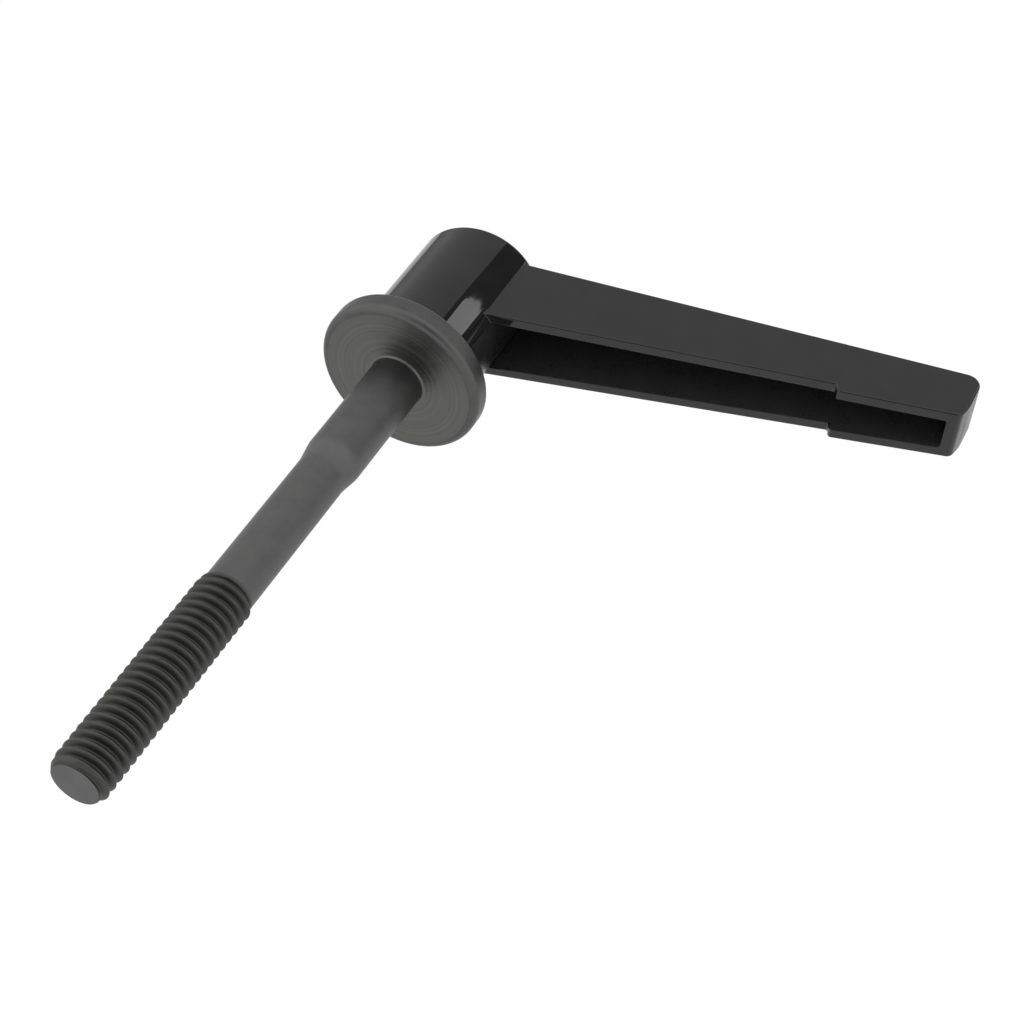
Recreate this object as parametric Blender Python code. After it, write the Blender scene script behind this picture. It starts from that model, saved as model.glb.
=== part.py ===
"""Quill lock handle: a cast lever that lifts against a spring and turns to a new tooth of its stud.

The stud lies along Y with its threaded end at -Y. The arm reaches out along +X. The origin is
the centre of the collar's bearing face. All sizes are in metres.
"""
import math

import bmesh
import bpy

MM = 0.001
GAP = 0.3 * MM  # left between pieces that touch on the real handle

# Thread: 5/16 inch, 18 turns to the inch, cut along the last 33 mm of the stud
THREAD_D = 7.94 * MM
THREAD_PITCH = 25.4 / 18 * MM
THREAD_DEPTH = 0.6134 * THREAD_PITCH
THREAD_CREST = THREAD_PITCH / 8
THREAD_SEGMENTS = 24
THREAD_END_Y = -45.2 * MM
THREAD_END_CONE = 1.2 * MM
THREAD_CLEARANCE = 0.06 * MM  # from the crests out to the edge of the groove's cutter
RUNOUT_TURNS = 0.7
RUNOUT_DEPTH = 0.05  # share of the depth where the groove ends

# Stud: tip, shank and collar, as distances from the bearing face
STUD_LENGTH = 78.0 * MM
TIP_FACE_D = 6.58 * MM
TIP_CHAMFER = 1.1 * MM
REDUCED_SHANK_D = 7.03 * MM
FULL_SHANK_D = 8.0 * MM
CONE_START_Y = -21.2 * MM
CONE_END_Y = -17.8 * MM
COLLAR_D = 24.48 * MM
COLLAR_THICKNESS = 3.45 * MM
COLLAR_FRONT_ROUND = 1.05 * MM
COLLAR_BACK_ROUND = 0.4 * MM
BASE_FILLET = 0.35 * MM
BASE_OVERLAP = 0.1 * MM

# Teeth that lock the lever to the stud
TEETH = 24
TOOTH_TIP_R = 6.3 * MM
TOOTH_ROOT_R = 5.5 * MM
TOOTH_PLAY = 0.4 * MM
TOOTH_TOP_Y = 7.6 * MM
GUIDE_R = 5.2 * MM
GUIDE_TOP_Y = 10.4 * MM
GUIDE_CHAMFER = 0.35 * MM
TAPPED_HOLE_R = 2.3 * MM
TAPPED_HOLE_BOTTOM_Y = 2.4 * MM
BORE_SEGMENTS = 32

# Hub of the lever, whose top leans up towards the arm
HUB_R = 9.02 * MM
HUB_BOTTOM_Y = COLLAR_THICKNESS + GAP
HUB_TOP_Y = 25.47 * MM
HUB_TOP_SLOPE = 0.11
HUB_TOP_ROUND = 0.5 * MM
HUB_BOTTOM_CHAMFER = 0.3 * MM
HUB_SEGMENTS = 64
SOCKET_TOOTH_TOP_Y = 8.0 * MM
SOCKET_TOP_Y = 11.0 * MM
WEB_TOP_Y = 12.2 * MM
WEB_HOLE_R = 2.75 * MM
COUNTERBORE_R = 4.9 * MM

# Arm of the lever: straight lines in side view, given by their height over the stud's axis
# line at x = 0 and their slope
ARM_BACK_Y = 23.96 * MM
ARM_BACK_SLOPE = 0.167
ARM_RIM_Y = 10.8 * MM
ARM_RIM_SLOPE = 0.245
ARM_HALF_WIDTH = 5.86 * MM
ARM_WIDTH_SLOPE = -0.025
ARM_END_X = 72.95 * MM
ARM_WALL = 1.39 * MM
ARM_BACK_WALL = 1.6 * MM
ARM_EDGE_ROUND = 0.35 * MM
STEP_X = 55.3 * MM
STEP_RUN = 0.5 * MM
STEP_DROP = 1.4 * MM
END_BACK_ROUND = 2.0 * MM
END_ARC_R = 10.0 * MM
END_ARC_TOP_Y = 30.5 * MM
CHANNEL_END_X = 70.9 * MM
CHANNEL_DRAFT = 0.25 * MM
CHANNEL_MOUTH_Y = 7.0 * MM

# Shoulder screw that holds the lever down through the spring
SCREW_THREAD_R = 2.0 * MM
SCREW_TIP_Y = 4.0 * MM
SCREW_TIP_CHAMFER = 0.4 * MM
SHOULDER_R = 2.4 * MM
SHOULDER_BOTTOM_Y = GUIDE_TOP_Y + GAP
HEAD_R = 4.3 * MM
HEAD_BOTTOM_Y = 22.0 * MM
HEAD_TOP_Y = 24.4 * MM
HEAD_ROUND = 0.5 * MM
SLOT_WIDTH = 1.1 * MM
SLOT_DEPTH = 1.2 * MM

# Spring between the web and the screw's head
WIRE_R = 0.4 * MM
COIL_R = 3.8 * MM
ACTIVE_TURNS = 3.0
END_TURNS = 0.75
END_TURN_PITCH = 0.95 * MM
SPRING_STEPS = 18
WIRE_SIDES = 8


def clear_scene():
    for obj in list(bpy.data.objects):
        bpy.data.objects.remove(obj, do_unlink=True)


def make_material(name, colour, roughness, metallic):
    material = bpy.data.materials.new(name)
    material.use_nodes = True
    shader = material.node_tree.nodes["Principled BSDF"]
    shader.inputs["Base Color"].default_value = (*colour, 1.0)
    shader.inputs["Roughness"].default_value = roughness
    shader.inputs["Metallic"].default_value = metallic
    return material


def add_object(name, bm, parent, material=None, sharp_angle=35):
    """Closes a bmesh into an object with outward faces, smooth over all but its sharp edges."""
    bmesh.ops.recalc_face_normals(bm, faces=bm.faces)
    mesh = bpy.data.meshes.new(name)
    bm.to_mesh(mesh)
    bm.free()
    mesh.shade_smooth()
    mesh.set_sharp_from_angle(angle=math.radians(sharp_angle))
    obj = bpy.data.objects.new(name, mesh)
    bpy.context.collection.objects.link(obj)
    obj.parent = parent
    if material:
        mesh.materials.append(material)
    return obj


def add_guide(name, bm, parent):
    """A shape that only cuts or feeds another one."""
    guide = add_object(name, bm, parent)
    guide.hide_render = True
    guide.display_type = "WIRE"
    return guide


def combine(obj, guide, operation):
    modifier = obj.modifiers.new(guide.name, "BOOLEAN")
    modifier.operation = operation
    modifier.solver = "EXACT"
    modifier.object = guide


def circle(bm, radius, y, segments, slope=0.0):
    """One ring round the Y axis, clockwise seen from +Y. A slope lifts its +X side."""
    ring = []
    for i in range(segments):
        angle = 2 * math.pi * i / segments
        x = radius * math.cos(angle)
        ring.append(bm.verts.new((x, y + slope * x, radius * math.sin(angle))))
    return ring


def toothed_ring(bm, tip_r, root_r, y):
    ring = []
    for i in range(2 * TEETH):
        angle = math.pi * i / TEETH
        radius = root_r if i % 2 else tip_r
        ring.append(bm.verts.new((radius * math.cos(angle), y, radius * math.sin(angle))))
    return ring


def loft(bm, rings):
    """Joins rings of equal length into one closed skin with flat ends."""
    for near, far in zip(rings, rings[1:]):
        for i in range(len(near)):
            j = (i + 1) % len(near)
            bm.faces.new((near[i], near[j], far[j], far[i]))
    bm.faces.new(rings[0])
    bm.faces.new(rings[-1])


def turned(profile, segments):
    """A solid of revolution from (radius, y) pairs."""
    bm = bmesh.new()
    loft(bm, [circle(bm, radius, y, segments) for radius, y in profile])
    return bm


def quarter_round(radius, y, size, turn, steps=3):
    """Profile points of a rounded edge. Turn +1 leads from a front face to the side, -1 from
    the side to a back face."""
    points = []
    for i in range(steps + 1):
        angle = math.pi / 2 * i / steps
        if turn > 0:
            points.append((radius - size + size * math.sin(angle), y + size - size * math.cos(angle)))
        else:
            points.append((radius - size + size * math.cos(angle), y - size + size * math.sin(angle)))
    return points


def arc(centre_x, centre_y, radius, start, end, steps=5):
    """Points on a circle from one angle to another, in degrees, in side view."""
    points = []
    for i in range(steps + 1):
        angle = math.radians(start + (end - start) * i / steps)
        points.append((centre_x + radius * math.cos(angle), centre_y + radius * math.sin(angle)))
    return points


def shank_bmesh():
    """Threaded bar, reduced shank, cone and full shank, before the thread is cut."""
    thread_r = THREAD_D / 2
    reduced_r = REDUCED_SHANK_D / 2
    full_r = FULL_SHANK_D / 2
    profile = [
        (TIP_FACE_D / 2, -STUD_LENGTH),
        (thread_r, -STUD_LENGTH + TIP_CHAMFER),
        (thread_r, THREAD_END_Y),
        (reduced_r, THREAD_END_Y + THREAD_END_CONE),
        (reduced_r, CONE_START_Y),
        (full_r, CONE_END_Y),
        (full_r, COLLAR_THICKNESS / 2),
    ]
    return turned(profile, THREAD_SEGMENTS)


def groove_bmesh():
    """The space between the thread's flanks: a right-hand helical groove that fades at its end."""
    bm = bmesh.new()
    crest_r = THREAD_D / 2
    outer_r = crest_r + THREAD_CLEARANCE
    flank = math.tan(math.radians(30))
    half_mouth = (THREAD_PITCH - THREAD_CREST) / 2
    start_y = -STUD_LENGTH - THREAD_PITCH
    turns = (THREAD_END_Y - start_y) / THREAD_PITCH + RUNOUT_TURNS / 2
    steps = round(turns * THREAD_SEGMENTS)
    sections = []
    for i in range(steps + 1):
        angle = -2 * math.pi * i / THREAD_SEGMENTS
        y = start_y + THREAD_PITCH * i / THREAD_SEGMENTS
        left = (steps - i) / (RUNOUT_TURNS * THREAD_SEGMENTS)
        depth = THREAD_DEPTH * min(1.0, RUNOUT_DEPTH + left)
        half_root = half_mouth - THREAD_DEPTH * flank
        half_outer = half_root + (depth + outer_r - crest_r) * flank
        section = []
        for radius, offset in ((crest_r - depth, -half_root), (crest_r - depth, half_root),
                               (outer_r, half_outer), (outer_r, -half_outer)):
            section.append(bm.verts.new((radius * math.cos(angle), y + offset, radius * math.sin(angle))))
        sections.append(section)
    loft(bm, sections)
    return bm


def collar_and_boss_bmesh():
    """Collar with its rounded rim and, behind it, the toothed boss and its guide."""
    bm = bmesh.new()
    segments = 2 * TEETH
    full_r = FULL_SHANK_D / 2
    collar_r = COLLAR_D / 2
    profile = [(full_r - BASE_OVERLAP, -BASE_FILLET), (full_r + BASE_FILLET, 0.0)]
    profile += quarter_round(collar_r, 0.0, COLLAR_FRONT_ROUND, 1)
    profile += quarter_round(collar_r, COLLAR_THICKNESS, COLLAR_BACK_ROUND, -1, 2)
    rings = [circle(bm, radius, y, segments) for radius, y in profile]
    tooth_chamfer = TOOTH_TIP_R - TOOTH_ROOT_R
    rings.append(toothed_ring(bm, TOOTH_TIP_R, TOOTH_ROOT_R, COLLAR_THICKNESS))
    rings.append(toothed_ring(bm, TOOTH_TIP_R, TOOTH_ROOT_R, TOOTH_TOP_Y - tooth_chamfer / 2))
    rings.append(toothed_ring(bm, TOOTH_ROOT_R, TOOTH_ROOT_R, TOOTH_TOP_Y))
    rings.append(circle(bm, GUIDE_R, TOOTH_TOP_Y, segments))
    rings.append(circle(bm, GUIDE_R, GUIDE_TOP_Y - GUIDE_CHAMFER, segments))
    rings.append(circle(bm, GUIDE_R - GUIDE_CHAMFER, GUIDE_TOP_Y, segments))
    loft(bm, rings)
    return bm


def build_stud(parent):
    material = make_material("blacked_steel", (0.045, 0.045, 0.047), 0.45, 0.8)
    stud = add_object("stud_with_collar", collar_and_boss_bmesh(), parent, material)
    combine(stud, add_guide("shank", shank_bmesh(), parent), "UNION")
    combine(stud, add_guide("thread_groove", groove_bmesh(), parent), "DIFFERENCE")
    hole = turned([(TAPPED_HOLE_R, TAPPED_HOLE_BOTTOM_Y), (TAPPED_HOLE_R, GUIDE_TOP_Y + MM)],
                  BORE_SEGMENTS)
    combine(stud, add_guide("tapped_hole", hole, parent), "DIFFERENCE")


def back_y(x):
    return ARM_BACK_Y + ARM_BACK_SLOPE * x


def rim_y(x):
    return ARM_RIM_Y + ARM_RIM_SLOPE * x


def half_width(x):
    return ARM_HALF_WIDTH + ARM_WIDTH_SLOPE * x


def arm_side_outline():
    """The arm seen from the side, from the hub along the stepped rim and back over the end."""
    back_angle = math.degrees(math.atan(ARM_BACK_SLOPE))
    rim_end_y = rim_y(ARM_END_X) - STEP_DROP
    rim_end_angle = -math.degrees(math.asin((END_ARC_TOP_Y - rim_end_y) / END_ARC_R))
    back_centre_x = ARM_END_X - END_BACK_ROUND
    back_touch_x = back_centre_x - END_BACK_ROUND * math.sin(math.radians(back_angle))
    back_centre_y = back_y(back_touch_x) - END_BACK_ROUND * math.cos(math.radians(back_angle))
    outline = [(0.0, rim_y(0.0)), (STEP_X, rim_y(STEP_X))]
    outline.append((STEP_X + STEP_RUN, rim_y(STEP_X + STEP_RUN) - STEP_DROP))
    outline += arc(ARM_END_X - END_ARC_R, END_ARC_TOP_Y, END_ARC_R, rim_end_angle, 0, 4)
    outline += arc(back_centre_x, back_centre_y, END_BACK_ROUND, 0, back_angle + 90)
    outline.append((0.0, back_y(0.0)))
    return outline


def arm_bmesh():
    """The arm as a solid wedge with slightly rounded edges."""
    bm = bmesh.new()
    outline = arm_side_outline()
    sides = [[bm.verts.new((x, y, side * half_width(x))) for x, y in outline] for side in (-1, 1)]
    loft(bm, sides)
    bmesh.ops.recalc_face_normals(bm, faces=bm.faces)
    bm.faces.ensure_lookup_table()
    edges = [edge for face in bm.faces if len(face.verts) > 4 for edge in face.edges
             if max(vert.co.x for vert in edge.verts) > HUB_R / 2]
    bmesh.ops.bevel(bm, geom=edges, offset=ARM_EDGE_ROUND, segments=2, profile=0.5, affect="EDGES")
    return bm


def channel_bmesh():
    """The hollow of the arm, open towards the stud, a little narrower at its floor."""
    bm = bmesh.new()
    start_x = HUB_R / 2
    rings = []
    for x in (start_x, CHANNEL_END_X):
        mouth = half_width(x) - ARM_WALL
        floor = mouth - CHANNEL_DRAFT
        floor_x = x if x == start_x else x - CHANNEL_DRAFT
        floor_y = back_y(x) - ARM_BACK_WALL
        corners = ((x, CHANNEL_MOUTH_Y, -mouth), (x, CHANNEL_MOUTH_Y, mouth),
                   (floor_x, floor_y, floor), (floor_x, floor_y, -floor))
        rings.append([bm.verts.new(corner) for corner in corners])
    loft(bm, rings)
    return bm


def hub_bmesh():
    bm = bmesh.new()
    rings = [circle(bm, HUB_R - HUB_BOTTOM_CHAMFER, HUB_BOTTOM_Y, HUB_SEGMENTS),
             circle(bm, HUB_R, HUB_BOTTOM_Y + HUB_BOTTOM_CHAMFER, HUB_SEGMENTS)]
    for radius, y in quarter_round(HUB_R, HUB_TOP_Y, HUB_TOP_ROUND, -1):
        rings.append(circle(bm, radius, y, HUB_SEGMENTS, HUB_TOP_SLOPE))
    loft(bm, rings)
    return bm


def socket_bmesh():
    """The toothed socket in the hub's underside and the plain pocket over it."""
    bm = bmesh.new()
    tip_r = TOOTH_TIP_R + TOOTH_PLAY
    root_r = TOOTH_ROOT_R + TOOTH_PLAY
    rings = [toothed_ring(bm, tip_r, root_r, HUB_BOTTOM_Y - MM),
             toothed_ring(bm, tip_r, root_r, SOCKET_TOOTH_TOP_Y),
             toothed_ring(bm, tip_r, tip_r, SOCKET_TOOTH_TOP_Y),
             toothed_ring(bm, tip_r, tip_r, SOCKET_TOP_Y)]
    loft(bm, rings)
    bmesh.ops.remove_doubles(bm, verts=bm.verts, dist=0.001 * MM)
    return bm


def counterbore_bmesh():
    """The clearance hole through the web and the wide bore from the top, with a broken edge."""
    top = HUB_TOP_Y + HUB_TOP_SLOPE * HUB_R + MM
    profile = [(WEB_HOLE_R, SOCKET_TOP_Y - MM), (WEB_HOLE_R, WEB_TOP_Y), (COUNTERBORE_R, WEB_TOP_Y),
               (COUNTERBORE_R, top)]
    return turned(profile, BORE_SEGMENTS)


def build_lever(parent):
    material = make_material("gloss_black_enamel", (0.012, 0.012, 0.013), 0.12, 0.0)
    lever = add_object("lever", hub_bmesh(), parent, material)
    arm = add_guide("arm", arm_bmesh(), parent)
    combine(arm, add_guide("arm_channel", channel_bmesh(), parent), "DIFFERENCE")
    combine(lever, arm, "UNION")
    combine(lever, add_guide("toothed_socket", socket_bmesh(), parent), "DIFFERENCE")
    combine(lever, add_guide("counterbore", counterbore_bmesh(), parent), "DIFFERENCE")


def build_screw(parent):
    material = make_material("screw_steel", (0.06, 0.06, 0.062), 0.35, 0.9)
    profile = [(SCREW_THREAD_R - SCREW_TIP_CHAMFER, SCREW_TIP_Y),
               (SCREW_THREAD_R, SCREW_TIP_Y + SCREW_TIP_CHAMFER),
               (SCREW_THREAD_R, SHOULDER_BOTTOM_Y), (SHOULDER_R, SHOULDER_BOTTOM_Y),
               (SHOULDER_R, HEAD_BOTTOM_Y), (HEAD_R, HEAD_BOTTOM_Y)]
    profile += quarter_round(HEAD_R, HEAD_TOP_Y, HEAD_ROUND, -1, 2)
    screw = add_object("retaining_screw", turned(profile, BORE_SEGMENTS), parent, material)
    slot = bmesh.new()
    bmesh.ops.create_cube(slot, size=1.0)
    bmesh.ops.scale(slot, verts=slot.verts, vec=(3 * HEAD_R, 2 * SLOT_DEPTH, SLOT_WIDTH))
    bmesh.ops.translate(slot, verts=slot.verts, vec=(0.0, HEAD_TOP_Y, 0.0))
    combine(screw, add_guide("screw_slot", slot, parent), "DIFFERENCE")


def spring_height(turn, active_pitch):
    """Height of the wire's centre line after a number of turns: close, then open, then close."""
    closed = min(turn, END_TURNS) + max(turn - END_TURNS - ACTIVE_TURNS, 0.0)
    opened = min(max(turn - END_TURNS, 0.0), ACTIVE_TURNS)
    return closed * END_TURN_PITCH + opened * active_pitch


def build_spring(parent):
    material = make_material("spring_steel", (0.3, 0.3, 0.31), 0.3, 1.0)
    bm = bmesh.new()
    bottom = WEB_TOP_Y + GAP + WIRE_R
    height = HEAD_BOTTOM_Y - GAP - WIRE_R - bottom
    active_pitch = (height - 2 * END_TURNS * END_TURN_PITCH) / ACTIVE_TURNS
    turns = ACTIVE_TURNS + 2 * END_TURNS
    steps = round(turns * SPRING_STEPS)
    sections = []
    for i in range(steps + 1):
        turn = turns * i / steps
        angle = -2 * math.pi * turn
        y = bottom + spring_height(turn, active_pitch)
        section = []
        for k in range(WIRE_SIDES):
            around = 2 * math.pi * k / WIRE_SIDES
            radius = COIL_R + WIRE_R * math.cos(around)
            section.append(bm.verts.new((radius * math.cos(angle), y + WIRE_R * math.sin(around),
                                         radius * math.sin(angle))))
        sections.append(section)
    loft(bm, sections)
    add_object("return_spring", bm, parent, material)


def build():
    clear_scene()
    stud_axis = bpy.data.objects.new("stud_axis", None)
    bpy.context.collection.objects.link(stud_axis)
    lift_axis = bpy.data.objects.new("lift_axis", None)
    bpy.context.collection.objects.link(lift_axis)
    lift_axis.parent = stud_axis
    build_stud(stud_axis)
    build_screw(stud_axis)
    build_spring(stud_axis)
    build_lever(lift_axis)


build()
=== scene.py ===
"""Look of the quill lock handle: a blacked, turned stud and a gloss black cast lever in a white studio.

The stud lies along Y with its threaded end at -Y, and the arm reaches out along +X. Sizes named here
are in metres and angles in degrees, unless a comment says otherwise.
"""

import math

import bmesh
import bpy
import numpy as np
from mathutils import Matrix, Vector


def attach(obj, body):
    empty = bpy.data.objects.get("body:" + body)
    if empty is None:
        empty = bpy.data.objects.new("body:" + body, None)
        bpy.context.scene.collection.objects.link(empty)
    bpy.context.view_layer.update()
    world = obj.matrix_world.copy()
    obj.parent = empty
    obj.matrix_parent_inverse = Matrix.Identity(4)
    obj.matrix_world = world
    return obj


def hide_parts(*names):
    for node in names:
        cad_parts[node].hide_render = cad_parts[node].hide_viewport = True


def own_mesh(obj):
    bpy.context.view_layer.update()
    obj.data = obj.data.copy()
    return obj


MM = 0.001
WELD_DISTANCE = 0.0005 * MM
SAME_HEIGHT = 0.0001 * MM
RING_GAP = 0.001 * MM  # keeps a cutter's rings apart
CUT_OVERLAP = 1.0 * MM  # how far a cutter reaches past what it cuts

# Stud
THREAD_D = 7.94 * MM
THREAD_PITCH = 25.4 / 18 * MM
THREAD_DEPTH = 0.57 * THREAD_PITCH
THREAD_CREST = THREAD_PITCH / 6
THREAD_FLANK = 30
PROFILE_SAMPLES = 480
PROFILE_SMOOTHING = (57, 43)  # samples averaged in each pass that rounds the crest and root
TIP_Y = -78.0 * MM
TIP_FACE_D = 6.58 * MM
TIP_CHAMFER = 1.1 * MM
TIP_FACE_DEPTH = 0.01 * MM  # faces whose middle lies less deep belong to the tip face
FIRST_CREST_Y = -76.85 * MM
ROOT_FADE_Y = (-45.3 * MM, -44.6 * MM)
CREST_FADE_Y = (-45.4 * MM, -44.6 * MM)
THREAD_STOP_Y = -44.5 * MM
REDUCED_SHANK_D = 7.03 * MM
FULL_SHANK_D = 8.0 * MM
CONE_START_Y = -21.2 * MM
CONE_END_Y = -17.8 * MM
CONE_LEAD_IN = 0.4 * MM
CONE_LEAD_OUT = 0.5 * MM
CONE_SOFTNESS = 0.35  # share of an S-shaped line in the cone, whose rest is straight
COLLAR_D = 24.48 * MM
COLLAR_THICKNESS = 3.45 * MM
COLLAR_FRONT_ROUND = 1.2 * MM
COLLAR_BACK_ROUND = 0.4 * MM
FACE_RINGS = (0.25, 0.5, 0.75)  # shares of the way across the collar's flat face
BASE_FILLET = 0.35 * MM
ROUND_STEPS = 6  # in the cone, in the fillet and in the rounds of the arm's end
TEETH = 24
TOOTH_TIP_R = 6.3 * MM
TOOTH_ROOT_R = 5.5 * MM
TOOTH_FLAT = 0.15  # share of a flank's width that is flat at the tip, and again at the root
TOOTH_PLAY = 0.4 * MM
TOOTH_TOP_Y = 7.6 * MM
TOOTH_TOP_INSET = 0.02 * MM
GUIDE_R = 5.2 * MM
GUIDE_TOP_Y = 10.4 * MM
GUIDE_CHAMFER = 0.35 * MM
HOLE_R = 2.3 * MM
HOLE_BOTTOM_Y = 2.4 * MM
HOLE_CHAMFER = 0.2 * MM

# Lever
HUB_R = 9.02 * MM
HUB_BOTTOM_Y = 3.75 * MM
HUB_BOTTOM_ROUND = 0.3 * MM
HUB_TOP_Y = 25.47 * MM
HUB_TOP_SLOPE = 0.11
HUB_TOP_ROUND = 0.5 * MM
COLUMN_CLEARANCE = 0.4  # share of a step that a hub's column keeps from an exact one
SOCKET_CUT_OVERLAP = 0.1 * MM
SOCKET_CHAMFER = 0.3 * MM
SOCKET_TOOTH_TOP_Y = 8.0 * MM
SOCKET_TOP_Y = 11.0 * MM
WEB_TOP_Y = 12.2 * MM
WEB_HOLE_R = 2.75 * MM
COUNTERBORE_R = 4.9 * MM
COUNTERBORE_EDGE = 0.2 * MM
ARM_BACK_Y = 23.96 * MM
ARM_BACK_SLOPE = 0.167
ARM_RIM_Y = 10.8 * MM
ARM_RIM_SLOPE = 0.245
ARM_HALF_WIDTH = 5.86 * MM
ARM_WIDTH_SLOPE = -0.025
ARM_MEETS_HUB_X = 7.0 * MM
ARM_END_X = 72.95 * MM
ARM_WALL = 1.39 * MM
ARM_BACK_WALL = 1.6 * MM
STEP_X = 55.3 * MM
STEP_RUN = 0.5 * MM
STEP_DROP = 1.4 * MM
END_BACK_ROUND = 2.0 * MM
END_BACK_STEPS = 12
END_ARC_R = 10.0 * MM
END_ARC_TOP_Y = 30.5 * MM
END_RIM_ROUND = 1.1 * MM
CHANNEL_MOUTH_Y = 7.0 * MM
CHANNEL_END_X = 70.9 * MM
CHANNEL_DRAFT = 0.25 * MM

# Roundings of the casting's edges, and the angle from which an edge is rounded
OUTER_EDGE_ROUND = 0.3 * MM
HUB_CORNER_ROUND = 0.1 * MM
HUB_BACK_ROUND = 0.3 * MM
STEP_ROUND = 0.55 * MM
CHANNEL_FLOOR_ROUND = 0.4 * MM
RIM_EDGE_ROUND = 0.14 * MM
WIDEST_ROUND = 0.6 * MM
ROUNDING_STEPS = 4
ROUNDED_FROM = 20
FLAT_BELOW = 0.05

# How near an edge or face lies to the place that it is told apart by
HUB_CORE_X = HUB_R * 0.4
CHANNEL_START_X = HUB_R * 0.7
ACROSS = 0.7  # least share of Z in the direction of an edge that runs across the arm
ON_FACE = 0.03 * MM
NEAR_EDGE = 0.1 * MM
WALL_REACH = 0.02 * MM
BELOW_RIM = 0.3 * MM
CHANNEL_REACH = 0.01 * MM
CHANNEL_RIM_MARGIN = 0.2 * MM
CHANNEL_FLOOR_MARGIN = 0.3 * MM

# Screw and spring
SCREW_SEGMENTS = 96
SCREW_THREAD_R = 2.0 * MM
SCREW_TIP_Y = 4.0 * MM
SCREW_TIP_CHAMFER = 0.4 * MM
SHOULDER_R = 2.4 * MM
SHOULDER_BOTTOM_Y = 10.7 * MM
HEAD_R = 4.3 * MM
HEAD_BOTTOM_Y = 22.0 * MM
HEAD_BOTTOM_ROUND = 0.2 * MM
HEAD_TOP_Y = 24.4 * MM
HEAD_TOP_ROUND = 0.45 * MM
HEAD_CROWN = 0.05 * MM
CROWN_POINTS = ((0.6, 0.01 * MM), (0.3, 0.0))  # share of the head's radius, and depth below its top
SLOT_WIDTH = 1.1 * MM
SLOT_DEPTH = 1.2 * MM
SPRING_BOTTOM_Y = 12.5 * MM
SPRING_TOP_Y = 21.7 * MM
SPRING_STEPS = 60  # in one turn
WIRE_R = 0.4 * MM
WIRE_SIDES = 16
COIL_R = 3.8 * MM
ACTIVE_TURNS = 3.0
END_TURNS = 0.75
END_TURN_PITCH = 0.95 * MM

# Values that most of a noise texture lies between, and the tones and bumps made from them
CRISP = (0.34, 0.66)
MEDIUM = (0.35, 0.65)
SOFT = (0.3, 0.7)
SHANK_TONE = 0.120
THREAD_TONE_FADE = 0.5 * MM
ROOT_TONE_TOP = 0.2 * MM
BLACKED_ROUGHNESS_SPREAD = 0.06
STEEL_ROUGHNESS_SPREAD = 0.08
ENAMEL_ROUGHNESS_SPREAD = 0.4
GRAIN_BUMP = 0.004 * MM
STEEL_BUMP = 0.01 * MM
COARSE_RING_SCALE = 0.22
COARSE_RING_BUMP = 1.5
SLOW_PEEL = 3.0
# how far the painted shade in the channel reaches past the hub
HUB_SHADE_REACH = 0.4 * MM
ENAMEL_IOR = 1.5

# Photograph's viewpoint
CAMERA_PLACE = Vector((99.604, -187.478, 196.499)) * MM
CAMERA_BACK = Vector((0.27371226, -0.63441992, 0.72290592))
CAMERA_ROLL = 3.888
CAMERA_LENS = 73.07  # mm, as is the sensor
CAMERA_SENSOR = 36.0
CAMERA_CLIP = (0.01, 20.0)
CAMERA_SHIFT = (-0.475 / 1024, 0.542 / 1024)

# Floor, lower than the arm reaches when it is turned down. Its glow is its strength as seen
# directly and in reflections
FLOOR_Z = -78.0 * MM
FLOOR_REACH = 4.0
FLOOR_TONE = 0.95
FLOOR_GLOW = (1.0, 0.92)
FLOOR_GLOW_SHARE = 0.8

# World. Its light is a little stronger towards the upper left of the view. Reflections of it are
# weaker in a band round the stud's axis, and dark behind the camera
LAMP_UP = 0.75
LAMP_LEFT = 0.75
LAMP_BACK = 0.35
LAMP_FACING = (-0.6, 0.9)
LAMP_STRENGTH = (0.86, 1.26)
REFLECTED_STRENGTH = (0.64, 0.76)
BAND_HEIGHT = 0.69
BAND_EDGE = (0.06, 0.35)
BESIDE_BAND = 0.55
DARK_PLACE = (0.24, -0.68, 0.69)
DARK_EDGE = (0.86, 0.95)
DARK_STRENGTH = 0.22

# Cards that only show in reflections on the hub, each seen from its middle: beside the arm a dark
# one and, nearer, a bright one, and at the far side a grey one that lights up across its width.
# Corners are in mm across and up on the card
HUB_MIDDLE = Vector((5.5, 12.0, 7.0)) * MM
BESIDE_ARM = (0.501, 0.691, 0.521)
CARDS = (
    {"name": "dark_card", "facing": BESIDE_ARM, "distance": 300.0 * MM, "glow": (0.15, 0.15),
     "corners": ((-99, -8), (-84, 11), (-66, 23), (-45, 42), (35, 40), (140, 75), (171, 17), (40, -20))},
    {"name": "light_card", "facing": BESIDE_ARM, "distance": 150.0 * MM, "glow": (2.8, 2.8),
     "corners": ((-29, 0.6), (5, 0.0), (42, 4.2), (50, 7.0), (50, -2.0), (9, -9.0), (-29, -7.5))},
    {"name": "grey_card", "facing": (-0.706, 0.640, -0.306), "distance": 150.0 * MM, "glow": (0.28, 0.72),
     "corners": ((12, -45), (62, -45), (62, 35), (12, 35))})

SEGMENTS = 144
THREAD_ROWS = 16  # in one pitch

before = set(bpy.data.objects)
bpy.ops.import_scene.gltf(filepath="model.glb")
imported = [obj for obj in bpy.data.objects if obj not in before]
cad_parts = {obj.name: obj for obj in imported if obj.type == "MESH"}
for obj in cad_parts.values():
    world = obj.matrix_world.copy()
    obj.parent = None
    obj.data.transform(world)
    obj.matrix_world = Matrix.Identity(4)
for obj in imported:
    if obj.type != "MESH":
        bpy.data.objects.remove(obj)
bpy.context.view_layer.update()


# Node helpers

def new_material(name):
    material = bpy.data.materials.new(name)
    material.use_nodes = True
    return material


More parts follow.
